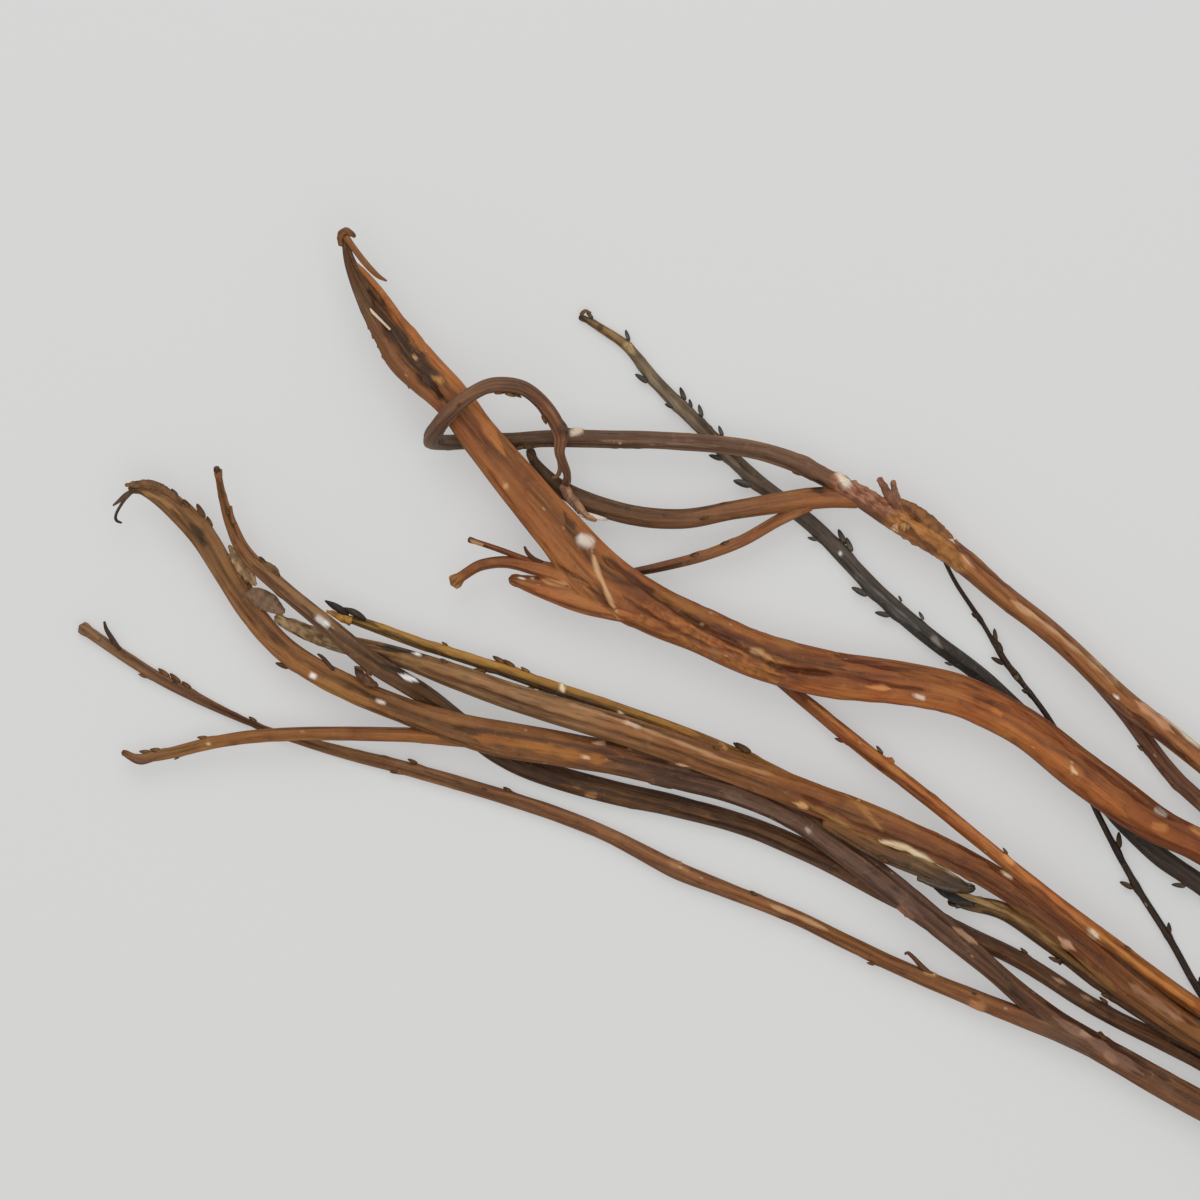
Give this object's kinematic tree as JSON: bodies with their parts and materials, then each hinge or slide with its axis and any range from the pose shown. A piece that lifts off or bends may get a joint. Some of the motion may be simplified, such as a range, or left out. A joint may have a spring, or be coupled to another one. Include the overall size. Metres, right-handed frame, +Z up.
{
  "type": "fantail willow bunch",
  "caption": "Flat-lying bunch of cut fantail willow: broad, ridged, twisting strap-like stems with torn, curling tips and small buds, bound with twine near the cut ends.",
  "frame": {"origin": "middle of the bounding box at the bottom, on the surface the bunch lies on", "axes": "+Z up; the bunch lies along X with the cut ends towards +X and the branch tips towards -X; the upper branches in the view from above are towards +Y"},
  "size_m": [1.0908, 0.306, 0.0584],
  "materials": {
    "russet_bark": "satin bark with lengthwise ridges",
    "mauve_bark": "satin bark",
    "brown_bark": "satin bark",
    "slate_bark": "satin bark",
    "dark_bark": "satin bark",
    "orange_bark": "satin bark",
    "purple_bark": "satin bark",
    "olive_bark": "satin bark",
    "gold_bark": "satin bark",
    "ridged_bark": "satin bark with a pale ridge",
    "drab_bark": "satin bark",
    "twine": "twisted natural fibre"
  },
  "bodies": {
    "root": {"broad_russet_stem": "russet_bark", "looped_mauve_stem": "mauve_bark", "brown_side_stem": "brown_bark", "slate_budded_stem": "slate_bark", "dark_thin_twig": "dark_bark", "slim_orange_stem": "orange_bark", "fanned_purple_stem": "purple_bark", "olive_weaving_stem": "olive_bark", "slim_olive_stem": "gold_bark", "ridged_brown_stem": "ridged_bark", "torn_olive_stem": "drab_bark", "twine_tie": "twine"}
  },
  "joints": []
}
